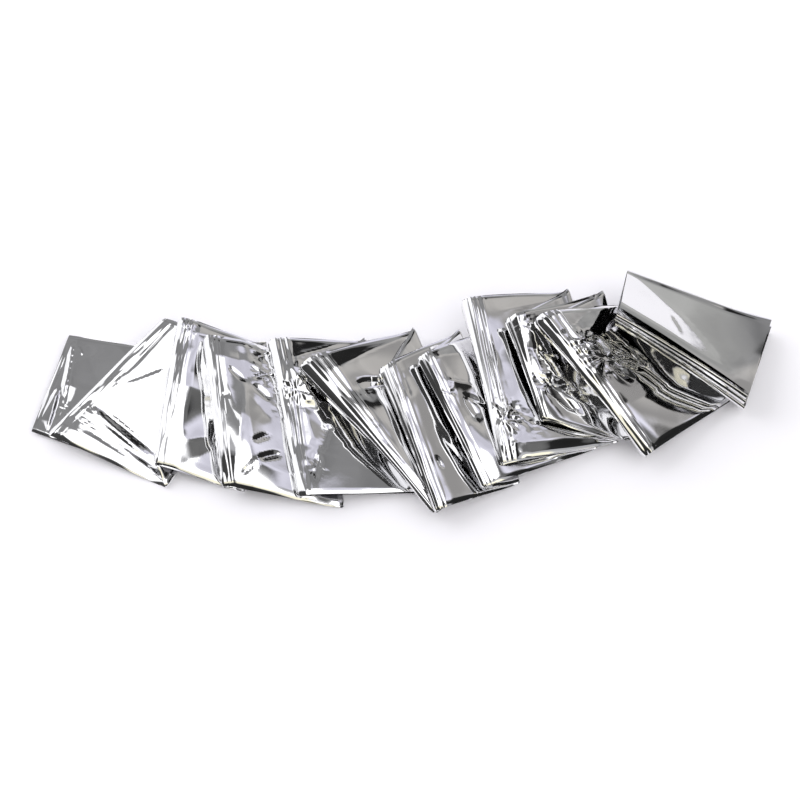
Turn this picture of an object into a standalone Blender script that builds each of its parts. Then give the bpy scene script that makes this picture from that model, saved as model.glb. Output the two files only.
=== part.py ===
# Emergency foil blanket, folded lengthwise into one long strip and pulled out along a
# shallow arc, so that its cross folds overlap like shingles. One closed solid: the strip
# of pressed plies, run back and forth through every fold, resting on its lower folds.
# Sizes in the tables are millimetres; the frame has +X along the strip, +Z up, and its
# origin under the middle of the bounding box.
import math

import bmesh
import bpy
from mathutils import Vector

MM = 0.001

# Fold lines from the left end to the right end. Each crosses the strip.
#   mid_x, mid_y : middle of the fold line on the surface
#   turn         : degrees the far end leans to the right of straight away (+Y)
#   wide         : plan length of the fold line
#   far_up       : height of the crease at its far end
#   near_up      : height of the crease at its near end
#   side         : -1 the fold points left (a ridge), +1 right (a foot), 0 a cut end
#   swell        : how far the panel that follows bulges up in its middle
#   mouth        : radius of the middle ply round the fold at its far end, where it gapes
FOLDS = [
    # name        mid_x mid_y turn  wide far_up near_up side swell mouth
    ("end_left",   -242,   15,   15,   76,    5,   2.5,   0,   0.0,  1.5),
    ("foot_1",     -174,   -2,   22,   91,    2,     2,   1,   0.0,  1.5),
    ("ridge_1",    -202,   15,   41,  113,   18,   9.5,  -1,   0.8,  2.0),
    ("foot_2",     -129,  -13,   31,  116,    2,     2,   1,   0.0,  1.5),
    ("ridge_2",    -160,    1,    7,  105,   26,    11,  -1,   0.3,  2.5),
    ("foot_3",     -101,  -11,    6,  109,    9,     2,   1,   0.0,  1.5),
    ("ridge_3",    -128,  -15,   -8,  106,   29,    12,  -1,   1.5,  3.0),
    ("foot_4",      -51,  -21,  -10,  113,    3,     2,   1,   0.0,  1.5),
    ("ridge_4",     -81,  -18,  -11,  115,   21,    11,  -1,   1.0,  3.0),
    ("foot_5",       -5,   -8,  -22,  123,    5,     2,   1,   0.0,  1.5),
    ("ridge_5",     -25,  -35,  -40,  131,   34,    11,  -1,   2.5,  8.0),
    ("foot_6",       28,   -3,  -22,  120,   13,     3,   1,   0.0,  1.5),
    ("ridge_6",       2,  -38,  -19,  104,   33,    16,  -1,   1.5,  5.0),
    ("foot_7",       56,   -4,  -19,  118,   12,     4,   1,   0.0,  1.5),
    ("ridge_7",      30,  -26,  -25,   98,   34,    16,  -1,   1.5,  3.5),
    ("foot_8",       98,   13,  -33,  110,   10,     3,   1,   0.0,  1.5),
    ("ridge_8",      51,    3,  -11,  118,   37,    21,  -1,   1.5,  4.0),
    ("foot_9",      127,   25,  -15,  115,   18,     6,   1,   0.0,  1.5),
    ("ridge_9",      79,    9,  -17,   72,   42,    25,  -1,  -3.0,  3.5),
    ("foot_10",     147,   21,  -12,  111,   24,    11,   1,   0.0,  1.5),
    ("ridge_10",    123,   -3,  -38,  112,   49,    15,  -1,   3.0,  6.0),
    ("foot_11",     199,   43,  -43,   90,   12,     2,   1,   0.0,  1.5),
    ("page_1",      184,   18,  -59,  100,   36,     9,  -1,   0.0,  2.0),
    ("back_1",      202,   71,  -73,  103,   22,     2,   1,   0.0,  1.5),
    ("page_2",      183,   18,  -60,  100,   42,    16,  -1,   0.0,  1.5),
    ("back_2",      202,   71,  -73,  103,   27,     9,   1,   0.0,  1.5),
    ("page_3",      183,   17,  -61,   99,   48,    23,  -1,   0.0,  1.5),
    ("back_3",      201,   72,  -74,  103,   33,    15,   1,   0.0,  1.5),
    ("end_right",   183,   17,  -61,   99,   54,    31,   0,   0.0,  1.5),
]

STRIP_THICK = 1.6       # the pressed plies of the strip
BEND_RADIUS = 1.5       # radius of the middle ply round a fold
FOOT_SETTLES = 0.8      # share of the width over which a foot comes down to its near height
MOUTH_DEPTH = 0.75      # share of the width over which a gaping fold closes
STRAIGHT_RUN = 7.0      # level run beside each fold
RUN_SHARE = 0.22        # the most of a panel that one level run may take
PANEL_CUTS = 4          # spans across the open part of each panel
BEND_TURNS = (-90, -45, 0, 45, 90)   # degrees round a fold, from below to above
ACROSS = 8              # spans from the far edge to the near edge
SWELL_FADE = 0.8        # share of a swell that is gone at the near edge
BELLY = 0.35            # share of a fold's drop that is kept back to the near half


def fold_at(row, v):
    """Middle of the crease, its outward direction, at v from far (0) to near (1)."""
    name, mid_x, mid_y, turn, wide, far_up, near_up, side, swell, mouth = row
    lean = math.radians(turn)
    along = (0.5 - v) * wide
    x = mid_x + along * math.sin(lean)
    y = mid_y + along * math.cos(lean)
    drop = (1.0 - BELLY) * v + BELLY * v * v
    if side > 0:
        drop = min(1.0, v / FOOT_SETTLES)
    z = far_up + (near_up - far_up) * drop
    out = Vector((math.cos(lean), -math.sin(lean), 0.0)) * (side or 1)
    return Vector((x, y, z)), out


def mouth_radius(row, v):
    """Radius of the middle ply round this fold: wide at the far end, tight at the near."""
    gape = max(0.0, 1.0 - v / MOUTH_DEPTH)
    return BEND_RADIUS + (row[9] - BEND_RADIUS) * gape ** 1.3


def section(v):
    """The strip's middle line at v: one run back and forth through all the folds."""
    line = []
    last = len(FOLDS) - 1
    for i, row in enumerate(FOLDS):
        crease, out = fold_at(row, v)
        side = row[7]
        if side == 0:
            line.append(crease)
        else:
            radius = mouth_radius(row, v)
            centre = crease - out * BEND_RADIUS + Vector((0, 0, BEND_RADIUS - radius))
            for turn in BEND_TURNS:
                a = math.radians(turn)
                ring = out * math.cos(a) + Vector((0, 0, math.sin(a)))
                line.append(centre + ring * radius)
        if i == last:
            break
        start = line[-1]
        after, after_out = fold_at(FOLDS[i + 1], v)
        end = after.copy()
        if FOLDS[i + 1][7] != 0:
            low = 2.0 * mouth_radius(FOLDS[i + 1], v) - BEND_RADIUS
            end = after - after_out * BEND_RADIUS - Vector((0, 0, low))
        reach = (end - start).length
        run = min(STRAIGHT_RUN, RUN_SHARE * reach)
        flat = Vector((end.x - start.x, end.y - start.y, 0.0)).normalized()
        first = start + flat * run
        final = end - flat * run
        for k in range(PANEL_CUTS + 1):
            u = k / PANEL_CUTS
            p = first.lerp(final, u)
            p.z += row[8] * (1.0 - SWELL_FADE * v) * math.sin(math.pi * u)
            line.append(p)
    return line


def build_strip():
    lines = [section(j / ACROSS) for j in range(ACROSS + 1)]
    count = len(lines[0])
    half = 0.5 * STRIP_THICK
    bm = bmesh.new()
    tops = []
    unders = []
    for j in range(ACROSS + 1):
        top_row = []
        under_row = []
        for i in range(count):
            before = lines[j][max(i - 1, 0)]
            beyond = lines[j][min(i + 1, count - 1)]
            far = lines[max(j - 1, 0)][i]
            near = lines[min(j + 1, ACROSS)][i]
            up = (beyond - before).cross(far - near).normalized()
            top = lines[j][i] + up * half
            under = lines[j][i] - up * half
            top.z = max(top.z, 0.0)
            under.z = max(under.z, 0.0)
            top_row.append(bm.verts.new(top * MM))
            under_row.append(bm.verts.new(under * MM))
        tops.append(top_row)
        unders.append(under_row)
    for j in range(ACROSS):
        for i in range(count - 1):
            bm.faces.new((tops[j][i], tops[j + 1][i], tops[j + 1][i + 1], tops[j][i + 1]))
            bm.faces.new((unders[j][i], unders[j][i + 1], unders[j + 1][i + 1], unders[j + 1][i]))
        bm.faces.new((tops[j][0], unders[j][0], unders[j + 1][0], tops[j + 1][0]))
        bm.faces.new((tops[j][-1], tops[j + 1][-1], unders[j + 1][-1], unders[j][-1]))
    for i in range(count - 1):
        bm.faces.new((tops[0][i], tops[0][i + 1], unders[0][i + 1], unders[0][i]))
        bm.faces.new((tops[-1][i], unders[-1][i], unders[-1][i + 1], tops[-1][i + 1]))
    middle_x = 0.5 * (min(v.co.x for v in bm.verts) + max(v.co.x for v in bm.verts))
    middle_y = 0.5 * (min(v.co.y for v in bm.verts) + max(v.co.y for v in bm.verts))
    bmesh.ops.translate(bm, vec=Vector((-middle_x, -middle_y, 0.0)), verts=bm.verts[:])
    bmesh.ops.triangulate(bm, faces=bm.faces[:])
    bmesh.ops.recalc_face_normals(bm, faces=bm.faces[:])
    return bm


def film_material():
    film = bpy.data.materials.new("silver_film")
    film.use_nodes = True
    shader = film.node_tree.nodes["Principled BSDF"]
    shader.inputs["Base Color"].default_value = (0.86, 0.86, 0.87, 1.0)
    shader.inputs["Metallic"].default_value = 1.0
    shader.inputs["Roughness"].default_value = 0.08
    return film


def clear_start():
    for thing in list(bpy.data.objects):
        bpy.data.objects.remove(thing, do_unlink=True)


def main():
    clear_start()
    bm = build_strip()
    mesh = bpy.data.meshes.new("foil_blanket")
    bm.to_mesh(mesh)
    bm.free()
    mesh.shade_smooth()
    mesh.set_sharp_from_angle(angle=math.radians(40.0))
    mesh.materials.append(film_material())
    blanket = bpy.data.objects.new("foil_blanket", mesh)
    bpy.context.scene.collection.objects.link(blanket)
    print("triangles", len(mesh.polygons))


main()
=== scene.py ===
# %% [markdown]
# # Emergency foil blanket
# A blanket of metallised film, folded to a narrow strip of about twelve plies and then
# pulled out of its packet folds. It lies on a pale surface in overlapping pleats, like
# shingles, with a few pages of the end still folded up at the right.
#
# The film is too thin to have a body of its own, so all that shows is its folds and what
# they mirror. The job is to get three things right: the fold lines, the small facets
# beside them, and the light tent that they mirror.

# %% Load the frame
import math

import bpy
import numpy as np
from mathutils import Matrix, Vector


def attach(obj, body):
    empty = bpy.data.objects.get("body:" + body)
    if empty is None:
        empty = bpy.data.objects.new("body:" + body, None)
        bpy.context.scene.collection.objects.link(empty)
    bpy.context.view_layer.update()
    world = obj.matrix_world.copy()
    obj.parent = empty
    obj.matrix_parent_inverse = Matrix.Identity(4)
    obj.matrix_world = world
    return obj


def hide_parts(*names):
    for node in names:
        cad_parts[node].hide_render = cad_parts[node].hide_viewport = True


MM = 0.001
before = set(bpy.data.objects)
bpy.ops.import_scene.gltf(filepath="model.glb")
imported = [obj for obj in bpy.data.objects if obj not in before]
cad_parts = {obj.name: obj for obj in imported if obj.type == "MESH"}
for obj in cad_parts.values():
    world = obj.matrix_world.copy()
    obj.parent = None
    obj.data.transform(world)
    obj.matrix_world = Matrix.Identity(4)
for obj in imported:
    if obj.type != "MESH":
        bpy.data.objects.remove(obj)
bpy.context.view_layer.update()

# %% [markdown]
# ## The folds
# The strip runs back and forth through its folds. A fold is a straight line across the
# strip, so a short table says it all: the middle of the line, how it leans, how long it
# is and how high its two ends lie. Every panel is then the ruled surface between two
# fold lines, which is how stiff film really hangs between creases.
#
# - mid_x, mid_y: the middle of the fold line
# - turn: degrees by which its far end leans to the right
# - far_up, near_up: height of the crease at its two ends
# - side: -1 is a ridge, 1 a foot and 0 a cut end
# - swell: how far the panel after the fold bulges up
# - mouth: the bend's radius at the far end, where some folds gape
# - band_far, band_near: width of the bundle of plies that runs along a ridge

# %% The folds, in millimetres, from the left end to the right end
FOLDS = [
    # name        mid_x mid_y turn  wide far_up near_up side swell mouth band_far band_near
    ("end_left",   -242,   15,   15,   76,    5,   2.5,   0,   0.0,  1.5,    0,    0),
    ("foot_1",     -174,   -2,   22,   91,    2,     2,   1,   0.0,  1.5,    0,    0),
    ("ridge_1",    -202,   15,   41,  113,   18,   9.5,  -1,   0.8,  2.0,    6,    5),
    ("foot_2",     -129,  -13,   31,  116,    2,     2,   1,   0.0,  1.5,    0,    0),
    ("ridge_2",    -160,    1,    7,  105,   26,    11,  -1,   0.3,  2.5,    9,    5),
    ("foot_3",     -101,  -11,    6,  109,    9,     2,   1,   0.0,  1.5,    0,    0),
    ("ridge_3",    -128,  -15,   -8,  106,   29,    12,  -1,   1.5,  3.0,    8,    5),
    ("foot_4",      -51,  -21,  -10,  113,    3,     2,   1,   0.0,  1.5,    0,    0),
    ("ridge_4",     -81,  -18,  -11,  115,   21,    11,  -1,   1.0,  3.0,   14,    6),
    ("foot_5",       -5,   -8,  -22,  123,    5,     2,   1,   0.0,  1.5,    0,    0),
    ("ridge_5",     -25,  -35,  -40,  131,   34,    11,  -1,   2.5,  8.0,   12,    5),
    ("foot_6",       28,   -3,  -22,  120,   13,     3,   1,   0.0,  1.5,    0,    0),
    ("ridge_6",       2,  -38,  -19,  104,   33,    16,  -1,   1.5,  5.0,    8,    8),
    ("foot_7",       56,   -4,  -19,  118,   12,     4,   1,   0.0,  1.5,    0,    0),
    ("ridge_7",      30,  -26,  -25,   98,   34,    16,  -1,   1.5,  3.5,    8,    6),
    ("foot_8",       98,   13,  -33,  110,   10,     3,   1,   0.0,  1.5,    0,    0),
    ("ridge_8",      51,    3,  -11,  118,   37,    21,  -1,   1.5,  4.0,   12,   10),
    ("foot_9",      127,   25,  -15,  115,   18,     6,   1,   0.0,  1.5,    0,    0),
    ("ridge_9",      79,    9,  -17,   72,   42,    25,  -1,  -3.0,  3.5,    3,    4),
    ("foot_10",     147,   21,  -12,  111,   24,    11,   1,   0.0,  1.5,    0,    0),
    ("ridge_10",    123,   -3,  -38,  112,   49,    15,  -1,   3.0,  6.0,   14,    6),
    ("foot_11",     199,   43,  -43,   90,   12,     2,   1,   0.0,  1.5,    0,    0),
    ("page_1",      184,   18,  -59,  100,   36,     9,  -1,   0.0,  2.0,    3,    3),
    ("back_1",      202,   71,  -73,  103,   22,     2,   1,   0.0,  1.5,    0,    0),
    ("page_2",      183,   18,  -60,  100,   42,    16,  -1,   0.0,  1.5,    3,    3),
    ("back_2",      202,   71,  -73,  103,   27,     9,   1,   0.0,  1.5,    0,    0),
    ("page_3",      183,   17,  -61,   99,   48,    23,  -1,   0.0,  1.5,    3,    3),
    ("back_3",      201,   72,  -74,  103,   33,    15,   1,   0.0,  1.5,    0,    0),
    ("end_right",   183,   17,  -61,   99,   54,    31,   0,   0.0,  1.5,    0,    0),
]
COLUMNS = "name mid_x mid_y turn wide far_up near_up side swell mouth band_far band_near".split()
FLAP = "back_3"         # the panel after this fold is the open flap at the right
folds = [dict(zip(COLUMNS, row)) for row in FOLDS]
panel_index = {fold["name"]: i for i, fold in enumerate(folds)}
print("folds", len(folds), "of which ridges", sum(fold["side"] < 0 for fold in folds))

# %% [markdown]
# A ridge drops from its far end to its near end, a little slower at first. A foot comes
# down quicker and then lies level, because the table stops it, and it turns level softly.
# Some folds gape at the far end, so their radius shrinks from there to a tight bend.

# %% Where a fold line is
FRAME_X = 0.5           # puts the strip's box round the frame's origin
FRAME_Y = -0.1
BELLY = 0.35            # share of a ridge's drop that comes late
FOOT_SETTLES = 0.8      # share of a foot's length at which it is down
SETTLE_SOFT = 0.19
BEND_RADIUS = 1.5       # of the middle ply, where a fold is tight
MOUTH_DEPTH = 0.75      # share of the fold's length over which a mouth closes
MOUTH_CURVE = 1.3


def fold_line(fold, v):
    """Points of the crease and its outward direction, for v from far (0) to near (1)."""
    lean = math.radians(fold["turn"])
    along = (0.5 - v) * fold["wide"]
    drop = (1.0 - BELLY) * v + BELLY * v * v
    if fold["side"] > 0:
        drop = v / FOOT_SETTLES
        bend = np.clip(drop - 1.0 + SETTLE_SOFT, 0, 2 * SETTLE_SOFT)
        drop = np.minimum(drop, 1.0 + SETTLE_SOFT) - bend * bend / (4 * SETTLE_SOFT)
    x = fold["mid_x"] + along * math.sin(lean) + FRAME_X
    y = fold["mid_y"] + along * math.cos(lean) + FRAME_Y
    z = fold["far_up"] + (fold["near_up"] - fold["far_up"]) * drop
    out = np.array([math.cos(lean), -math.sin(lean), 0.0]) * (fold["side"] or 1)
    return np.stack([x, y, z], axis=-1), out


def mouth_radius(fold, v):
    """Radius of the middle ply round a fold: wide at the far end, tight at the near."""
    gape = np.maximum(0.0, 1.0 - v / MOUTH_DEPTH)
    return BEND_RADIUS + (fold["mouth"] - BEND_RADIUS) * gape ** MOUTH_CURVE


ends = np.array([0.0, 1.0])
for name in ("ridge_1", "ridge_5", FLAP):
    print(name, "from", *fold_line(folds[panel_index[name]], ends)[0].round(1).tolist())

# %% [markdown]
# ## The strip as a grid
# A sheet is easiest to shape as a grid: one direction runs along the strip, through every
# bend and panel, and the other runs across it. Each grid row knows which panel it is on
# and how far along that panel it lies, so a crease can later be placed with a ruler, just
# as one would on the real blanket. Rows stand close together beside a ridge, where the
# small creases are, and far apart on the panels that nobody sees.

# %% Grid stations along one panel
FINE_STEP = 0.9         # beside a ridge
FINE_REACH = 16.0
FINE_SHARE = 0.4        # of the panel's length, at most
PANEL_STEP = 1.7
HIDDEN_STEP = 2.6
ACROSS_STEPS = 82
LEAST_STEPS = 4


def stations(length, open_panel):
    """Distances along a panel, closer together beside its ridge."""
    if not open_panel:
        return np.linspace(0.0, length, max(LEAST_STEPS, round(length / HIDDEN_STEP)))
    reach = min(FINE_REACH, FINE_SHARE * length)
    fine = np.linspace(0.0, reach, max(LEAST_STEPS, round(reach / FINE_STEP)))
    rest = np.linspace(reach, length, max(LEAST_STEPS + 2, round((length - reach) / PANEL_STEP)))
    return np.concatenate([fine, rest[1:]])


def soft_ramp(u, ease):
    """From 0 to 1 with level ends: the share of the drop done at u."""
    ease = np.minimum(ease, 0.49)
    rise = np.where(u < ease, u * u / (2 * ease), u - ease / 2)
    tail = 1 - u
    fall = (1 - ease) - tail * tail / (2 * ease)
    return np.where(u > 1 - ease, fall, rise) / (1 - ease)


print("rows on a 70 mm panel", len(stations(70.0, True)), "open,", len(stations(70.0, False)), "hidden")

# %% [markdown]
# Each panel leaves one bend level, slopes down or up, and meets the next bend level. The
# flap is the one exception: it is creased hard, so it starts on its slope almost at once.

# %% Bends and panels
UP = np.array([0.0, 0.0, 1.0])
STRAIGHT_RUN = 7.0      # how far from a bend the panel starts to turn
RUN_SHARE = 0.22        # of the panel's length, at most
FLAP_EASE = 0.3
SWELL_FADE = 0.8        # how much of the bulge is gone at the near edge
BEND_STEPS = 6
MOUTH_STEPS = 1.4       # more steps for each millimetre of mouth


def is_open(fold):
    """True for a panel whose upper side can be seen."""
    return fold["name"] == FLAP or (fold["side"] <= 0 and not fold["name"].startswith("page"))


def bend_rows(fold, v):
    """Rows of points round one fold, from the side it comes in on to the other."""
    crease, out = fold_line(fold, v)
    radius = mouth_radius(fold, v)[:, None]
    centre = crease - out * BEND_RADIUS + UP * (BEND_RADIUS - radius)
    turns = np.radians(np.linspace(-90, 90, round(BEND_STEPS + MOUTH_STEPS * fold["mouth"]) + 1))
    return [centre + radius * (out * math.cos(a) + UP * math.sin(a)) for a in turns]


def panel_ends(fold, after, v):
    """The line where a panel leaves one bend and the line where it reaches the next."""
    start, out = fold_line(fold, v)
    end, after_out = fold_line(after, v)
    if fold["side"]:
        start = start - out * BEND_RADIUS + UP * BEND_RADIUS
    if after["side"]:
        low = 2 * mouth_radius(after, v)[:, None] - BEND_RADIUS
        end = end - after_out * BEND_RADIUS - UP * low
    return start, end


def panel_rows(fold, after, v):
    """Rows of points between two bends, their distances along the panel and its length."""
    start, end = panel_ends(fold, after, v)
    span = np.linalg.norm(end - start, axis=-1)
    length = float(span.mean())
    ease = 2.0 * np.minimum(STRAIGHT_RUN / span, RUN_SHARE)
    if fold["name"] == FLAP:
        ease = ease * FLAP_EASE
    cuts = stations(length, is_open(fold))
    first = 1 if fold["side"] else 0
    last = len(cuts) - 1 if after["side"] else len(cuts)
    rows = []
    for along in cuts[first:last]:
        u = along / length
        point = start + (end - start) * u
        point[:, 2] = start[:, 2] + (end[:, 2] - start[:, 2]) * soft_ramp(u, ease)
        point[:, 2] += fold["swell"] * (1 - SWELL_FADE * v) * math.sin(math.pi * u)
        rows.append(point)
    return rows, cuts[first:last], length


one_bend = bend_rows(folds[1], np.array([0.0, 1.0]))
print("rows round", folds[1]["name"], len(one_bend))

# %% [markdown]
# Now the whole strip: bend, panel, bend, panel, from the left end to the right end. This
# is the middle surface. The film itself lies a little above and below it.

# %% The middle surface of the strip
v_fine = np.linspace(0.0, 1.0, ACROSS_STEPS + 1)
rows, row_panel, row_along, row_on_panel = [], [], [], []
panel_lengths = []
for i, fold in enumerate(folds):
    bend = bend_rows(fold, v_fine) if fold["side"] else []
    rows += bend
    row_panel += [i] * len(bend)
    row_along += [0.0] * len(bend)
    row_on_panel += [False] * len(bend)
    if i + 1 < len(folds):
        panel, distances, length = panel_rows(fold, folds[i + 1], v_fine)
        rows += panel
        row_panel += [i] * len(panel)
        row_along += list(distances)
        row_on_panel += [True] * len(panel)
        panel_lengths.append(length)
    elif not fold["side"]:
        panel_lengths.append(0.0)
middle = np.array(rows)
row_panel = np.array(row_panel)
row_along = np.array(row_along)
row_on_panel = np.array(row_on_panel)
print("grid", middle.shape[:2], "triangles", 2 * (middle.shape[0] - 1) * ACROSS_STEPS)
print("panel lengths", {fold["name"]: round(length) for fold, length in zip(folds, panel_lengths)})

# %% [markdown]
# A ply becomes a mesh with one face per grid cell. Its UV map is its place on the flat,
# unfolded sheet, in metres, so the film's grain keeps its real size round every fold.

# %% Turn a grid into a film


def surface_normals(points):
    along = np.gradient(points, axis=0)
    across = np.gradient(points, axis=1)
    normal = np.cross(across, along)
    return normal / np.linalg.norm(normal, axis=-1, keepdims=True)


def film_mesh(name, points, across_mm):
    """A mesh object from a grid of points in millimetres, and its run along the strip."""
    count, wide = points.shape[:2]
    index = np.arange(count * wide).reshape(count, wide)
    faces = np.stack([index[:-1, :-1], index[:-1, 1:], index[1:, 1:], index[1:, :-1]], axis=-1)
    mesh = bpy.data.meshes.new(name)
    mesh.from_pydata((points.reshape(-1, 3) * MM).tolist(), [], faces.reshape(-1, 4).tolist())
    steps = np.linalg.norm(np.diff(points[:, wide // 2], axis=0), axis=-1)
    run = np.concatenate([[0.0], np.cumsum(steps)])
    uv = np.stack([np.repeat(run[:, None], wide, axis=1), across_mm], axis=-1) * MM
    layer = mesh.uv_layers.new(name="sheet")
    corners = np.empty(len(mesh.loops), dtype=np.int32)
    mesh.loops.foreach_get("vertex_index", corners)
    layer.data.foreach_set("uv", uv.reshape(-1, 2)[corners].ravel())
    mesh.shade_smooth()
    film = bpy.data.objects.new(name, mesh)
    bpy.context.scene.collection.objects.link(film)
    return film, float(run[-1])


normals = surface_normals(middle)
print("normals", normals.shape, "mean up", normals[..., 2].mean().round(3))

# %% [markdown]
# ## Heights on the panels
# From here on every detail is a height, in millimetres, added along the normal. There are
# two fields of it: one for the face, which is up after a ridge, and one for the back,
# which is up after a foot, as on the flap. Heights fade out at the folds, so that the
# bends stay whole, but not at a cut end, which is free.

# %% Two fields of height
rise = np.zeros(middle.shape[:2])
rise_back = np.zeros(middle.shape[:2])
FADE_AT_RIDGE = 2.0
FADE_AT_FOOT = 5.0


def on_panel(name):
    """The grid rows of a panel, the distances along and down it, and its length."""
    i = panel_index[name]
    rows = np.nonzero((row_panel == i) & row_on_panel)[0]
    along = row_along[rows][:, None]
    down = (v_fine * folds[i]["wide"])[None, :]
    return rows, along, down, panel_lengths[i]


def side_up(name):
    """The height field of the side of the strip that is up on this panel."""
    return rise_back if folds[panel_index[name]]["side"] > 0 else rise


def edge_fade(name, along, length):
    """Full on the open panel, nothing at the folds that end it."""
    i = panel_index[name]
    fade = np.ones_like(along)
    if folds[i]["side"]:
        fade = fade * np.clip(along / FADE_AT_RIDGE, 0, 1)
    if folds[i + 1]["side"]:
        fade = fade * np.clip((length - along) / FADE_AT_FOOT, 0, 1)
    return fade


def segment(along, down, a0, d0, a1, d1):
    """Share of the way along a segment, distance beside it (signed) and its length."""
    run_a, run_d = a1 - a0, d1 - d0
    size = math.hypot(run_a, run_d)
    t = ((along - a0) * run_a + (down - d0) * run_d) / size ** 2
    beside = ((along - a0) * run_d - (down - d0) * run_a) / size
    return t, beside, size


print("rows on ridge_5", len(on_panel("ridge_5")[0]), "its length", round(on_panel("ridge_5")[3], 1))

# %% [markdown]
# Stiff film doesn't bend everywhere. It stays flat in facets that meet at creases, and
# each crease is a sharp line that flattens out a few millimetres away. So a crease is a
# segment on a panel with a height and a reach, and the height falls off on both sides of
# it. Distances are read from the ridge (along) and from the far edge (down).

# %% The creases that show, in millimetres
CREASES = [
    # panel       along down  to_along to_down rise reach
    ("end_left",     6,    4,   16,   51,  0.8, 3.5),
    ("end_left",     4,    7,    8,   39, -0.5,   3),
    ("end_left",     8,   39,    2,   73,  0.7,   5),
    ("end_left",    13,    6,   33,   34, -0.5,   8),
    ("end_left",    28,    0,   49,   15,  0.4,   8),
    ("ridge_1",      8,    7,    7,   56, -0.6, 2.5),
    ("ridge_1",      9,   59,   28,   28, -0.6,   5),
    ("ridge_1",      3,   94,   74,  106, -1.2,   5),
    ("ridge_1",      1,   86,   65,   99,  1.0,   4),
    ("ridge_1",      4,   78,   61,   94, -1.0,   4),
    ("ridge_1",      2,  102,   74,  108,  0.8,   4),
    ("ridge_2",      9,   38,   14,   94,  0.8,   8),
    ("ridge_2",     16,   20,   34,   75, -1.6,  10),
    ("ridge_2",     11,   88,   34,   75,  0.8,   6),
    ("ridge_2",     14,  104,   36,   80, -1.0,   8),
    ("ridge_2",      5,   10,   60,    3,  1.0,   5),
    ("ridge_3",     21,   38,    7,   99,  1.2,   7),
    ("ridge_3",     21,    0,   23,   38, -1.0,   8),
    ("ridge_3",     26,   42,   37,   55, -0.5,   6),
    ("ridge_4",      5,   18,   59,    2,  1.2,   6),
    ("ridge_4",     11,   44,   40,   52,  1.2,   5),
    ("ridge_4",     30,   56,   11,   93, -1.2,   7),
    ("ridge_4",     13,   85,    8,  101, -1.0,   3),
    ("ridge_4",     16,   18,   11,   34,  1.0,   4),
    ("ridge_4",     11,   34,   32,   25,  0.8,   4),
    ("ridge_4",     12,   46,   16,   87,  0.8,   8),
    ("ridge_5",      6,   15,   61,    3,  0.8,   6),
    ("ridge_5",     16,   29,   16,   44, -1.0,   4),
    ("ridge_5",     25,   41,   19,   75,  0.6,   8),
    ("ridge_5",      1,   68,    8,  117,  0.9,   5),
    ("ridge_6",      9,   10,    9,   29, -0.8,   5),
    ("ridge_6",     21,   52,   33,   95, -1.0,   6),
    ("ridge_6",     26,   54,   38,   87,  0.9,   5),
    ("ridge_6",     26,   65,   42,   69, -0.6,   4),
    ("ridge_7",      1,    6,   42,   11,  0.6,   6),
    ("ridge_7",      6,   23,   26,   33,  1.0,   5),
    ("ridge_7",     15,   38,   15,   57, -1.4,   5),
    ("ridge_7",     23,   39,   12,   92,  0.9,   6),
    ("ridge_7",     40,   51,   54,   71, -1.2,   8),
    ("ridge_7",     32,   78,   76,   98,  1.4,   6),
    ("ridge_7",     25,   88,   59,   87, -1.0,   6),
    ("ridge_7",     59,   87,   51,   98,  0.9,   5),
    ("ridge_8",     23,   13,   78,    4,  0.8,   6),
    ("ridge_8",     12,   27,   15,   78, -0.8,   7),
    ("ridge_8",     10,   79,   28,   95, -1.2,   6),
    ("ridge_9",      1,   39,   37,   47,  1.2,   5),
    ("ridge_9",      6,   51,   30,   63, -1.4,   6),
    ("ridge_9",      1,   11,   32,   26,  0.8,   5),
    ("ridge_9",      1,   21,   32,   36, -0.8,   5),
    ("ridge_9",     37,   48,   44,   68,  0.6,   6),
    ("ridge_10",     1,    1,    5,   21,  1.0,   6),
    ("ridge_10",     3,   19,   49,    0, -1.0,   6),
    ("ridge_10",    28,   18,   46,   62, -1.2,   7),
    ("ridge_10",    25,   32,   30,   69,  0.9,   6),
]
TAPER = 3.5             # full height is reached at 1 / TAPER of the crease's length
END_HEIGHT = 0.3        # share of its height that a crease keeps at its ends


def add_crease(name, a0, d0, a1, d1, height, reach):
    rows, along, down, length = on_panel(name)
    t, _, _ = segment(along, down, a0, d0, a1, d1)
    near_t = np.clip(t, 0, 1)
    away = np.hypot(along - a0 - near_t * (a1 - a0), down - d0 - near_t * (d1 - d0))
    taper = np.clip(TAPER * near_t, 0, 1) * np.clip(TAPER * (1 - near_t), 0, 1)
    taper = END_HEIGHT + (1 - END_HEIGHT) * taper
    side_up(name)[rows] += height * taper * np.exp(-away / reach) * edge_fade(name, along, length)


for crease in CREASES:
    add_crease(*crease)
print("creases", len(CREASES), "from", rise.min().round(2), "to", rise.max().round(2), "mm")

# %% [markdown]
# Twelve plies can't fold at one line. Each takes its own, a millimetre or two from the
# next, so a ridge carries a bundle of narrow parallel facets. They are a zigzag of
# height across the band beside the ridge, and they drift a little from far to near.

# %% The bundle beside each ridge
BUNDLE_AT = (0.0, 0.16, 0.34, 0.5, 0.68, 0.84, 1.0)
BUNDLE_UP = (0.0, 0.55, -0.10, 0.50, -0.25, 0.35, 0.0)
BUNDLE_BAND = 8.0       # the band's width that these heights are for
BUNDLE_DRIFT = 0.045
BUNDLE_UNEVEN = 0.5
BUNDLE_SEED = 11
dice = np.random.default_rng(BUNDLE_SEED)


def slow_wave(v, parts=3, most=5.0):
    """A smooth wander between about -1 and 1 along the crease."""
    total = np.zeros_like(v)
    for _ in range(parts):
        turns = dice.uniform(1.0, most) * math.pi * v + dice.uniform(0, 2 * math.pi)
        total += math.sqrt(1 / parts) * np.sin(turns)
    return total


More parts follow.
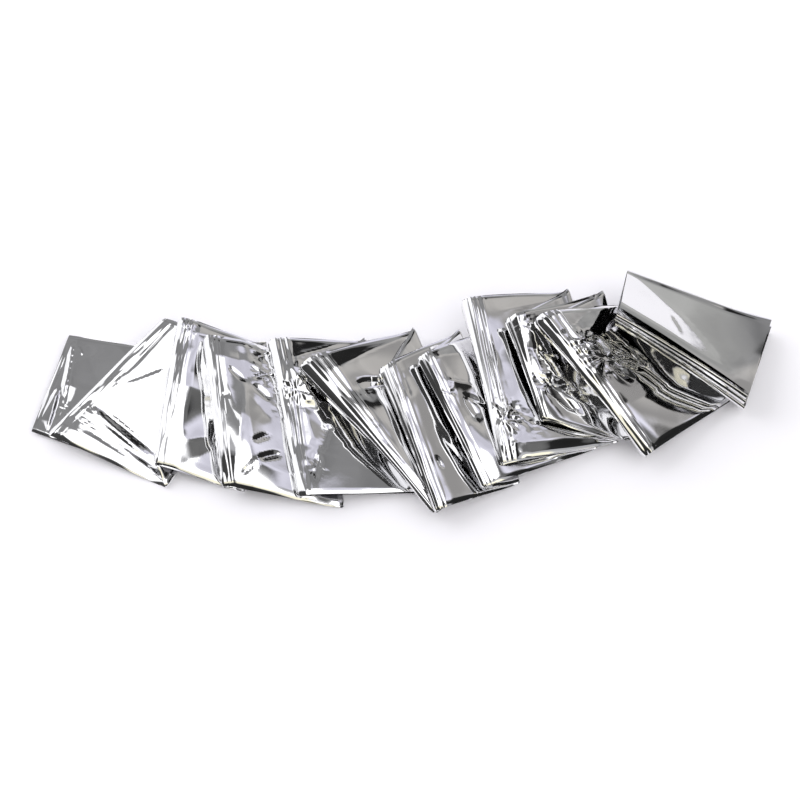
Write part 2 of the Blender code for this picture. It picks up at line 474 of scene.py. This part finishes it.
for i, fold in enumerate(folds):
    if fold["band_far"] == 0:
        continue
    rows, along, down, length = on_panel(fold["name"])
    band = fold["band_far"] + (fold["band_near"] - fold["band_far"]) * v_fine
    knots = []
    ups = []
    for at, up in zip(BUNDLE_AT, BUNDLE_UP):
        inner = 0 < at < 1
        knots.append(band * (at + BUNDLE_DRIFT * inner * slow_wave(v_fine)))
        uneven = 1 + BUNDLE_UNEVEN * slow_wave(v_fine, most=9.0)
        ups.append(up * (band / BUNDLE_BAND) * uneven * inner)
    knots = np.array(knots)
    ups = np.array(ups)
    for j in range(len(v_fine)):
        rise[rows, j] += np.interp(along[:, 0], knots[:, j], ups[:, j])
print("ridges with a bundle", sum(fold["band_far"] > 0 for fold in folds))

# %% [markdown]
# The plies also part a little on the round of the ridge itself, so the bend is not a
# smooth tube but a set of narrow facets that run along it.

# %% The plies round each ridge
PLY_UP = 0.2
PLY_UNEVEN = 0.6
for i, fold in enumerate(folds):
    if fold["side"] >= 0:
        continue
    rows = np.nonzero((row_panel == i) & ~row_on_panel)[0]
    for k, row in enumerate(rows[1:-1]):
        in_or_out = 1 - 2 * (k % 2)
        rise[row] += PLY_UP * in_or_out * (1 + PLY_UNEVEN * slow_wave(v_fine, most=6.0))
print("plies part by", PLY_UP, "mm")

# %% [markdown]
# A pleat is a small flat facet pushed up or down: one long side and one short one, so it
# mirrors quite another part of the tent than the panel round it. That gives the crisp
# grey strips, leaves and wedges that lie on the open panels. Apex says where its top is,
# from 0 to 1 across its width.

# %% The pleats, in millimetres
PLEATS = [
    # panel    along down to_along to_down wide  up  apex
    ("end_left",    4,    2,   14,   52,   4.5,  0.9, 0.85),
    ("end_left",    7,   38,   11,   74,   8.0,  1.1, 0.85),
    ("end_left",    2,    5,    2,   70,   2.5,  0.5, 0.50),
    ("end_left",    9,    8,   13,   14,   2.0,  0.3, 0.50),
    ("ridge_1",     7,    3,    9,   56,   1.8, -0.6, 0.50),
    ("ridge_1",    10,   61,   28,   30,   3.0, -0.5, 0.50),
    ("ridge_1",     1,   92,   75,  109,   5.5,  1.1, 0.30),
    ("ridge_1",     2,   81,   63,  101,   4.5,  1.0, 0.80),
    ("ridge_1",     5,   79,   61,   95,   3.5, -0.9, 0.40),
    ("ridge_3",    11,   22,   23,   31,   3.5, -0.9, 0.50),
    ("ridge_3",     5,   44,   11,   43,   2.5, -0.5, 0.50),
    ("ridge_3",    21,   74,   35,   65,   3.0, -0.8, 0.50),
    ("ridge_3",    11,   98,   25,   84,   4.5, -1.2, 0.50),
    ("ridge_3",    23,   85,   42,   76,   4.5, -1.2, 0.50),
    ("ridge_3",    27,   31,   39,   41,   6.0, -1.4, 0.40),
    ("ridge_4",    30,   62,   16,   87,   2.2, -0.7, 0.60),
    ("ridge_4",    16,   86,    9,  107,   3.2, -1.0, 0.50),
    ("ridge_5",     13,   30,   34,   36,   9.0, -1.8, 0.50),
    ("ridge_7",     14,   36,   30,   52,   5.0, -1.0, 0.30),
    ("ridge_7",     14,   36,   18,   58,   3.0, -0.8, 0.50),
    ("ridge_6",    12,   71,   14,   81,   3.0, -0.8, 0.50),
    ("ridge_9",     7,   49,   30,   61,   7.0, -1.6, 0.40),
    ("back_3",     33,   33,   52,   48,   3.0, -0.5, 0.50),
    ("ridge_4",     8,   22,   23,   54,  22.0,  3.2, 0.50),
]
PLEAT_TAPER = 4.0


def add_pleat(name, a0, d0, a1, d1, wide, up, apex):
    rows, along, down, length = on_panel(name)
    t, beside, _ = segment(along, down, a0, d0, a1, d1)
    taper = np.clip(PLEAT_TAPER * t, 0, 1) * np.clip(PLEAT_TAPER * (1 - t), 0, 1)
    left, right = apex * wide, (1 - apex) * wide
    tent = np.minimum((beside + left) / left, (right - beside) / right)
    side_up(name)[rows] += up * np.clip(tent - (1 - taper), 0, 1) * edge_fade(name, along, length)


for pleat in PLEATS:
    add_pleat(*pleat)
print("pleats", len(PLEATS))

# %% [markdown]
# The same shape, made very broad, tips a large part of a panel by a few degrees.
# A mirror turns that into a new tone, so this is how one panel shows two flat tones with
# a straight border between them. Some of these lines lie beyond the edge of the panel:
# then only the long slope is on it.

# %% The broad tilts, in millimetres
TILTS = [
    # panel    along down to_along to_down wide  up  apex
    ("back_3",    -13, -135,  179,  174, 120.0,  6.5, 0.50),
    ("ridge_10",  -40,  122,  120,  124,  50.0,  4.0, 0.10),
    ("ridge_2",    -5,   48,   70,   48,  96.0,  2.2, 0.50),
    ("ridge_3",    25,  -20,   18,  124,  90.0,  3.0, 0.28),
    ("ridge_4",   -40,  124,  130,  126,  50.0,  2.4, 0.10),
    ("ridge_8",    -6,  108,   90,  112, 100.0,  2.5, 0.10),
    ("ridge_9",    -6,   46,   60,   52,  60.0, -1.2, 0.10),
    ("ridge_9",   -20,   -4,   90,   -4,  60.0,  5.0, 0.90),
]
for tilt in TILTS:
    add_pleat(*tilt)
print("broad tilts", len(TILTS), "on", sorted({row[0] for row in TILTS}))

# %% [markdown]
# Where the film was pinched it bursts into a star: sharp rays that start at one point.
# Where it was squeezed along a line it gathers into a band of long thin waves.

# %% The pinched stars and the gathered bands
STARS = [
    # panel    along down radius rays  up
    ("end_left",   18,   55,    7,  7, 0.40),
    ("ridge_1",     8,   59,    5,  5, 0.25),
    ("ridge_2",     6,    6,    7,  7, 0.40),
    ("ridge_3",    38,    7,   10,  7, 1.25),
    ("ridge_3",    38,   21,   11,  7, 1.40),
    ("ridge_3",    44,   47,    7,  7, 0.50),
    ("ridge_4",    10,   40,   13,  8, 1.30),
    ("ridge_4",    12,   97,    6,  6, 0.60),
    ("ridge_5",     4,   62,    5,  6, 0.45),
    ("ridge_7",     4,   31,    7,  7, 0.50),
    ("ridge_8",     6,   89,   14,  8, 1.50),
    ("ridge_8",     5,  110,    9,  8, 0.65),
    ("ridge_9",     3,    8,    9,  9, 0.60),
    ("ridge_9",    12,   48,    9,  8, 0.60),
    ("ridge_10",   12,   28,   14,  7, 1.30),
    ("ridge_10",   20,   44,   26,  9, 1.30),
]
BANDS = [
    # panel    along down to_along to_down half  up  long thin
    ("ridge_3",    34,   16,   42,   34,   6.0, 0.75,  9.0, 3.6),
    ("ridge_4",    12,   46,   32,   52,   3.0, 0.45,  8.0, 2.6),
    ("ridge_8",     6,   80,   26,   98,   9.0, 0.55,  9.0, 3.8),
    ("ridge_9",     2,   44,   34,   50,   4.5, 0.50,  9.0, 3.1),
    ("ridge_9",    16,   20,   20,   24,  18.0, 0.17,  7.0, 3.4),
    ("ridge_7",    44,   84,   74,   92,   8.0, 0.45, 12.0, 4.1),
    ("ridge_10",   12,   52,   70,   58,   4.5, 0.55, 12.0, 3.1),
    ("ridge_10",   16,   30,   44,   46,  14.0, 0.40, 26.0, 9.0),
]


STAR_SWAY = 0.12        # how unevenly the rays stand
STAR_TWIST = 0.25
LONG_RAY = 0.7          # shares of a star's height
SHORT_RAY = 0.4
WAVES_IN_BAND = 4
WAVE_LEAN = 0.35
WAVE_WIDER = 0.45       # each wave of a band is so much wider than the one before
WAVE_LOWER = 0.5
STAR_SEED = 40
BAND_SEED = 90


def triangle_wave(x):
    return 2 * np.abs(2 * (x % 1.0) - 1) - 1


def add_star(name, a, d, radius, rays, up, seed):
    rows, along, down, length = on_panel(name)
    roll = np.random.default_rng(seed)
    away = np.hypot(along - a, down - d) / radius
    angle = np.arctan2(down - d, along - a) / (2 * math.pi)
    sway = STAR_SWAY * np.sin(2 * math.pi * (2 * angle + roll.uniform()))
    sway = sway + STAR_TWIST * away * roll.uniform(-1, 1)
    long_rays = triangle_wave(rays * (angle + sway / 3))
    short_rays = triangle_wave((rays // 2) * angle + 0.3)
    shape = np.sqrt(np.clip(away, 0, 1)) * np.clip(1 - away, 0, 1) * 2.0
    height = up * shape * (LONG_RAY * long_rays + SHORT_RAY * short_rays)
    side_up(name)[rows] += height * edge_fade(name, along, length)


def add_band(name, a0, d0, a1, d1, half, up, long, thin, seed):
    rows, along, down, length = on_panel(name)
    roll = np.random.default_rng(seed)
    t, beside, size = segment(along, down, a0, d0, a1, d1)
    over = np.maximum(0, np.abs(t - 0.5) - 0.5) * size
    mask = np.clip(1.2 - np.hypot(beside, over) / half, 0, 1)
    wave = np.zeros_like(mask)
    for k in range(WAVES_IN_BAND):
        lean = roll.uniform(-WAVE_LEAN, WAVE_LEAN)
        phase = (beside + lean * t * size) / (thin * (1 + WAVE_WIDER * k)) + roll.uniform(0, 1)
        phase = phase + 0.5 * np.sin(2 * math.pi * (t * size / long + roll.uniform(0, 1)))
        wave += triangle_wave(phase) / (1 + WAVE_LOWER * k)
    side_up(name)[rows] += up * mask * wave / 2 * edge_fade(name, along, length)


for k, star in enumerate(STARS):
    add_star(*star, STAR_SEED + k)
for k, band in enumerate(BANDS):
    add_band(*band, BAND_SEED + k)
print("stars", len(STARS), "bands", len(BANDS), "rise", rise.min().round(2), rise.max().round(2))

# %% [markdown]
# The open panels are nearly flat, but not quite. A few very long, very low waves, other
# ones on each panel, bend the borders of what they mirror.

# %% The slack of the open panels
SLACK_UP = 0.14
SLACK_LONG = 38.0
SLACK_WAVES = 4
SLACK_SEED = 200
LOOSE = {"back_3": 0.5, "ridge_2": 1.4, "ridge_3": 1.2, "ridge_7": 1.4, "ridge_9": 1.6}
for i, fold in enumerate(folds[:-1]):
    name = fold["name"]
    rows, along, down, length = on_panel(name)
    roll = np.random.default_rng(SLACK_SEED + i)
    for _ in range(SLACK_WAVES):
        a = roll.uniform(0, math.pi)
        long = SLACK_LONG * roll.uniform(0.6, 1.6)
        across_wave = along * math.cos(a) + down * math.sin(a)
        wave = np.sin(2 * math.pi * across_wave / long + roll.uniform(0, 6.3))
        height = SLACK_UP * LOOSE.get(name, 1.0) * (long / SLACK_LONG) * wave
        side_up(name)[rows] += height * edge_fade(name, along, length)
print("slack", SLACK_UP, "mm in waves of about", SLACK_LONG, "mm")

# %% [markdown]
# Both long edges of the strip are lengthwise folds, so they roll over instead of ending
# sharp. A rolled edge mirrors the whole tent in a few millimetres: that is the thin
# bright band that runs along every panel. The pages of the end stack are pressed flat.

# %% The rolled long edges
ROLL_REACH = 2.8
ROLL_DROP = 0.8
ROLL_MORE = {"ridge_1": 1.5, "ridge_2": 1.8, "ridge_3": 1.8, "ridge_10": 1.6}
for i, fold in enumerate(folds[:panel_index["page_1"]]):
    rows = np.nonzero(row_panel == i)[0]
    more = ROLL_MORE.get(fold["name"], 1.0)
    down = v_fine * fold["wide"]
    edge = np.minimum(down, fold["wide"] - down)
    drop = np.clip(1 - edge / (ROLL_REACH * more), 0, 1) ** 2
    rise[rows] -= ROLL_DROP * more * drop[None, :]
    rise_back[rows] -= ROLL_DROP * (2.0 - more) * drop[None, :]     # so the two just meet
print("edge drop", ROLL_DROP, "mm over", ROLL_REACH, "mm")

# %% [markdown]
# ## The film
# Bright metal on polyester: nearly colourless, and a very clear mirror. Two small shader
# groups read the sheet's own coordinates, in metres. One gives the height of the finest
# wrinkles, far too small for the mesh. The other gives the roughness, clean for the most
# part and duller in patches where the plies rubbed on each other.

# %% The film's surface
FILM_COLOUR = (0.88, 0.88, 0.885, 1.0)
CRINKLE_SIZE = 0.012    # metres
CRINKLE_BUMP = 0.045
FINE_SHARE_OF_BUMP = 0.35
SCUFF_SIZE = 0.03       # metres
ROUGH_CLEAN = 0.035
ROUGH_SCUFFED = 0.13
SCUFF_FROM = 0.45
SCUFF_TO = 0.75


def new_group(name, output):
    """A shader group with one number coming out, and the sheet's coordinates to read."""
    group = bpy.data.node_groups.new(name, "ShaderNodeTree")
    group.interface.new_socket(output, in_out="OUTPUT", socket_type="NodeSocketFloat")
    place = group.nodes.new("ShaderNodeUVMap")
    place.uv_map = "sheet"
    return group, place, group.nodes.new("NodeGroupOutput")


def noise_at(group, place, size, detail):
    noise = group.nodes.new("ShaderNodeTexNoise")
    noise.inputs["Scale"].default_value = 1.0 / size
    noise.inputs["Detail"].default_value = detail
    group.links.new(place.outputs["UV"], noise.inputs["Vector"])
    return noise


def crinkle_group():
    """Height of the finest wrinkles: soft cells with a finer crackle on top."""
    group, place, out = new_group("crinkle", "Height")
    cells = group.nodes.new("ShaderNodeTexVoronoi")
    cells.feature = "SMOOTH_F1"
    cells.inputs["Scale"].default_value = 1.0 / CRINKLE_SIZE
    cells.inputs["Smoothness"].default_value = 0.25
    group.links.new(place.outputs["UV"], cells.inputs["Vector"])
    fine = noise_at(group, place, CRINKLE_SIZE / 2, 2.0)
    blend = group.nodes.new("ShaderNodeMath")
    blend.operation = "MULTIPLY_ADD"
    blend.inputs[1].default_value = FINE_SHARE_OF_BUMP
    group.links.new(fine.outputs["Fac"], blend.inputs[0])
    group.links.new(cells.outputs["Distance"], blend.inputs[2])
    group.links.new(blend.outputs[0], out.inputs["Height"])
    return group


def scuff_group():
    """Roughness: clean film, duller where the plies rubbed on each other."""
    group, place, out = new_group("scuff", "Roughness")
    patches = noise_at(group, place, SCUFF_SIZE, 4.0)
    rough = group.nodes.new("ShaderNodeMapRange")
    rough.inputs["From Min"].default_value = SCUFF_FROM
    rough.inputs["From Max"].default_value = SCUFF_TO
    rough.inputs["To Min"].default_value = ROUGH_CLEAN
    rough.inputs["To Max"].default_value = ROUGH_SCUFFED
    group.links.new(patches.outputs["Fac"], rough.inputs["Value"])
    group.links.new(rough.outputs["Result"], out.inputs["Roughness"])
    return group


def silver_film():
    film = bpy.data.materials.new("silver film")
    film.use_nodes = True
    tree = film.node_tree
    shader = tree.nodes["Principled BSDF"]
    shader.inputs["Base Color"].default_value = FILM_COLOUR
    shader.inputs["Metallic"].default_value = 1.0
    crinkle = tree.nodes.new("ShaderNodeGroup")
    crinkle.node_tree = crinkle_group()
    scuff = tree.nodes.new("ShaderNodeGroup")
    scuff.node_tree = scuff_group()
    bump = tree.nodes.new("ShaderNodeBump")
    bump.inputs["Strength"].default_value = CRINKLE_BUMP
    bump.inputs["Distance"].default_value = MM
    tree.links.new(crinkle.outputs["Height"], bump.inputs["Height"])
    tree.links.new(bump.outputs["Normal"], shader.inputs["Normal"])
    tree.links.new(scuff.outputs["Roughness"], shader.inputs["Roughness"])
    return film


film = silver_film()
print("material", film.name, "roughness from", ROUGH_CLEAN, "to", ROUGH_SCUFFED)

# %% [markdown]
# Two outer plies are laid over the folded solid: the face and the back. They lie on the
# two sides of the strip and come together where its long edges roll over. The back shows
# only on the flap and under the ridges, so it takes every second row of the grid.

# %% Lay the two outer plies
FILM_OUT = 0.75         # how far each lies from the middle of the strip
STRIP_WIDE = 110.0
CLEAR = 0.1             # above the table
across = np.repeat((v_fine * STRIP_WIDE)[None, :], middle.shape[0], axis=0)


def lay_film(name, side, heights, step):
    """One outer ply of the strip, with its creases, as a piece of the scene."""
    points = middle + side * normals * (FILM_OUT + heights[..., None])
    points[..., 2] = np.maximum(points[..., 2], CLEAR)
    keep = np.unique(np.append(np.arange(0, len(points), step), len(points) - 1))
    piece, run = film_mesh(name, points[keep], across[keep])
    piece.data.materials.append(film)
    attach(piece, "root")
    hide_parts("foil_blanket")
    print(name, "triangles", 2 * len(piece.data.polygons), "run", round(run * MM, 3), "m")
    return piece


face = lay_film("film_face", 1.0, rise, 1)
back = lay_film("film_back", -1.0, rise_back, 2)

# %% [markdown]
# ## The picture
# The camera looks down at 62 degrees from the near side, from far enough that the strip
# has little perspective.

# %% Camera
ELEVATION = math.radians(62.0)
DISTANCE = 1.284
LENS = 85.0
AIM = Vector((-0.0038, 0.0037, 0.0))
lens = bpy.data.cameras.new("camera")
lens.lens = LENS
camera = bpy.data.objects.new("camera", lens)
camera.location = AIM + DISTANCE * Vector((0.0, -math.cos(ELEVATION), math.sin(ELEVATION)))
camera.rotation_euler = (math.pi / 2 - ELEVATION, 0.0, 0.0)
bpy.context.scene.collection.objects.link(camera)
bpy.context.scene.camera = camera
print("camera at", np.round(camera.location, 3).tolist())

# %% [markdown]
# The floor is plain and very pale, with a touch of lilac. It shows under the strip and
# also in it, wherever the film mirrors the table.

# %% Floor
FLOOR = 6.0             # metres from the middle to the edge
FLOOR_COLOUR = (0.90, 0.89, 0.93, 1.0)
FLOOR_ROUGH = 0.9
corners = [(-FLOOR, -FLOOR, 0), (FLOOR, -FLOOR, 0), (FLOOR, FLOOR, 0), (-FLOOR, FLOOR, 0)]
floor_mesh = bpy.data.meshes.new("floor")
floor_mesh.from_pydata(corners, [], [(0, 1, 2, 3)])
floor = bpy.data.objects.new("floor", floor_mesh)
bpy.context.scene.collection.objects.link(floor)
paper = bpy.data.materials.new("paper")
paper.use_nodes = True
paper_shader = paper.node_tree.nodes["Principled BSDF"]
paper_shader.inputs["Base Color"].default_value = FLOOR_COLOUR
paper_shader.inputs["Roughness"].default_value = FLOOR_ROUGH
floor_mesh.materials.append(paper)
print("floor", 2 * FLOOR, "m square")

# %% [markdown]
# A mirror has no tone of its own, so the tent round it is what one sees. It is a set of
# plain cards: grey at the back, white overhead and at the left, black windows at the
# right and in front. Each card is placed by the direction in which a facet sees it: right
# and back are the x and y parts of that direction, so 0, 0 is straight up and a length of
# 1 is the horizon. A later card hangs in front of the earlier ones.

# %% The cards of the tent
BASE_TONE = (0.55, 0.55, 0.57, 1.0)
CARDS = [
    # name          right  back  half_right half_back turn soft   red green blue
    ("back grey",    0.10,  0.65,  0.90, 0.45,   0, 0.04, 0.25, 0.25, 0.255),
    ("far grey",     0.62,  0.86,  0.20, 0.12, -30, 0.08, 0.45, 0.45, 0.440),
    ("low lilac",    0.45,  0.97,  0.30, 0.085,  0, 0.01, 0.78, 0.77, 0.88),
    ("right grey",   0.75,  0.40,  0.24, 0.25,   0, 0.04, 0.40, 0.39, 0.385),
    ("lilac wall",   0.44,  0.28,  0.21, 0.12,   0, 0.03, 0.78, 0.77, 0.88),
    ("beige window", 0.57,  0.58,  0.09, 0.09,   0, 0.05, 0.62, 0.60, 0.58),
    ("back dark",    0.41,  0.66,  0.09, 0.08,   0, 0.02, 0.02, 0.02, 0.02),
    ("overhead",     0.10, -0.12,  0.32, 0.30,   0, 0.02, 1.60, 1.60, 1.62),
    ("high window",  0.18,  0.26,  0.12, 0.08,   0, 0.02, 1.50, 1.50, 1.54),
    ("left wall",   -0.75,  0.50,  0.35, 0.46,   0, 0.03, 1.30, 1.30, 1.34),
    ("left dark",   -0.62, -0.36,  0.38, 0.37,   0, 0.03, 0.05, 0.05, 0.05),
    ("dim window",   0.58, -0.02,  0.12, 0.23,   0, 0.05, 0.15, 0.15, 0.15),
    ("dark window",  0.83,  0.05,  0.16, 0.30,   0, 0.03, 0.02, 0.02, 0.02),
    ("right dark",   0.97,  0.10,  0.15, 0.60,   0, 0.03, 0.02, 0.02, 0.02),
    ("cream strip",  0.25, -0.52,  0.50, 0.08,   0, 0.03, 1.20, 1.15, 0.92),
    ("front dark",   0.00, -0.83,  0.80, 0.22,   0, 0.04, 0.03, 0.03, 0.03),
]
print("cards", len(CARDS), [card[0] for card in CARDS])

# %% [markdown]
# Each card is a soft-edged rectangle in that flat map of directions. The shader lays a
# card over what is already there, one after the other. Real cards are never quite evenly
# lit, so a slow mottle makes each a little darker and lighter from place to place.

# %% Hang the tent
MOTTLE_SCALE = 3.0
MOTTLE_DARK = 0.80
MOTTLE_LIGHT = 1.22
MOTTLE_DETAIL = 3.0
MOTTLE_SWIRL = 0.6
MOTTLE_FROM = 0.35      # the part of the noise that is used
MOTTLE_TO = 0.65
world = bpy.data.worlds.new("tent")
bpy.context.scene.world = world
world.use_nodes = True
tent = world.node_tree


def math_node(tree, kind, *values):
    node = tree.nodes.new("ShaderNodeMath")
    node.operation = kind
    for socket, value in zip(node.inputs, values):
        tree.links.new(value, socket)
    return node.outputs[0]


def card_mask(tree, direction, right, back, half_right, half_back, turn, soft):
    """1 on the card, 0 off it, from the direction in which it is seen."""
    lay = tree.nodes.new("ShaderNodeMapping")
    lay.vector_type = "TEXTURE"
    lay.inputs["Location"].default_value = (right, back, 0.0)
    lay.inputs["Rotation"].default_value = (0.0, 0.0, math.radians(turn))
    tree.links.new(direction, lay.inputs["Vector"])
    parts = tree.nodes.new("ShaderNodeSeparateXYZ")
    tree.links.new(lay.outputs[0], parts.inputs[0])
    masks = []
    for axis, half in (("X", half_right), ("Y", half_back)):
        away = math_node(tree, "ABSOLUTE", parts.outputs[axis])
        edge = tree.nodes.new("ShaderNodeMapRange")
        edge.interpolation_type = "SMOOTHSTEP"
        tree.links.new(away, edge.inputs["Value"])
        edge.inputs["From Min"].default_value = half + soft
        edge.inputs["From Max"].default_value = half - soft
        masks.append(edge.outputs["Result"])
    return math_node(tree, "MULTIPLY", *masks)


def colours_of(sockets):
    return {socket.name: socket for socket in sockets if socket.type == "RGBA"}


def lay_card(tree, tone, mask, label, colour):
    mix = tree.nodes.new("ShaderNodeMix")
    mix.data_type = "RGBA"
    mix.label = label
    tree.links.new(mask, mix.inputs["Factor"])
    inputs = colours_of(mix.inputs)
    tree.links.new(tone, inputs["A"])
    inputs["B"].default_value = colour
    return colours_of(mix.outputs)["Result"]


def mottled(tree, direction, tone):
    """The tone, a little darker and lighter from place to place."""
    noise = tree.nodes.new("ShaderNodeTexNoise")
    noise.inputs["Scale"].default_value = MOTTLE_SCALE
    noise.inputs["Detail"].default_value = MOTTLE_DETAIL
    noise.inputs["Distortion"].default_value = MOTTLE_SWIRL
    tree.links.new(direction, noise.inputs["Vector"])
    shade = tree.nodes.new("ShaderNodeMapRange")
    tree.links.new(noise.outputs["Fac"], shade.inputs["Value"])
    shade.inputs["From Min"].default_value = MOTTLE_FROM
    shade.inputs["From Max"].default_value = MOTTLE_TO
    shade.inputs["To Min"].default_value = MOTTLE_DARK
    shade.inputs["To Max"].default_value = MOTTLE_LIGHT
    shaded = tree.nodes.new("ShaderNodeVectorMath")
    shaded.operation = "SCALE"
    tree.links.new(tone, shaded.inputs[0])
    tree.links.new(shade.outputs["Result"], shaded.inputs["Scale"])
    return shaded.outputs[0]


where = tent.nodes.new("ShaderNodeTexCoord").outputs["Generated"]
base = tent.nodes.new("ShaderNodeRGB")
base.outputs[0].default_value = BASE_TONE
tone = base.outputs[0]
for label, right, back, half_right, half_back, turn, soft, *rgb in CARDS:
    mask = card_mask(tent, where, right, back, half_right, half_back, turn, soft)
    tone = lay_card(tent, tone, mask, label, (*rgb, 1.0))
tone = mottled(tent, where, tone)
tent.links.new(tone, tent.nodes["Background"].inputs["Color"])
print("tent nodes", len(tent.nodes))

# %% [markdown]
# Four large soft boxes light the floor, which makes it white with a soft lilac shade
# close to the strip. The film doesn't mirror them: only the tent shows in it.

# %% Soft boxes
BOX_SIZE = 1.8
BOX_OUT = 1.5
BOX_UP = 1.5
BOXES = [
    # name            right  back  watts
    ("left box",      -1.0,  0.3,  15),
    ("right box",      1.0,  0.0,  13),
    ("back box",       0.1,  1.0,  10),
    ("front box",      0.0, -1.0,  12),
]


def soft_box(name, place, size, watts):
    light = bpy.data.lights.new(name, "AREA")
    light.shape = "RECTANGLE"
    light.size = size
    light.size_y = size
    light.energy = watts
    box = bpy.data.objects.new(name, light)
    box.location = place
    box.rotation_euler = (-place).to_track_quat("-Z", "Y").to_euler()
    bpy.context.scene.collection.objects.link(box)
    box.visible_glossy = False


for name, right, back, watts in BOXES:
    soft_box(name, Vector((right * BOX_OUT, back * BOX_OUT, BOX_UP)), BOX_SIZE, watts)
print("soft boxes", len(BOXES), "watts in all", sum(row[3] for row in BOXES))

# %% [markdown]
# Mirrors that face mirrors need some bounces more than usual, or the mouths under the
# ridges go black.

# %% Bounces and view
GLOSSY_BOUNCES = 8
ALL_BOUNCES = 12
bpy.context.scene.view_settings.view_transform = "Standard"
bpy.context.scene.cycles.glossy_bounces = GLOSSY_BOUNCES
bpy.context.scene.cycles.max_bounces = ALL_BOUNCES
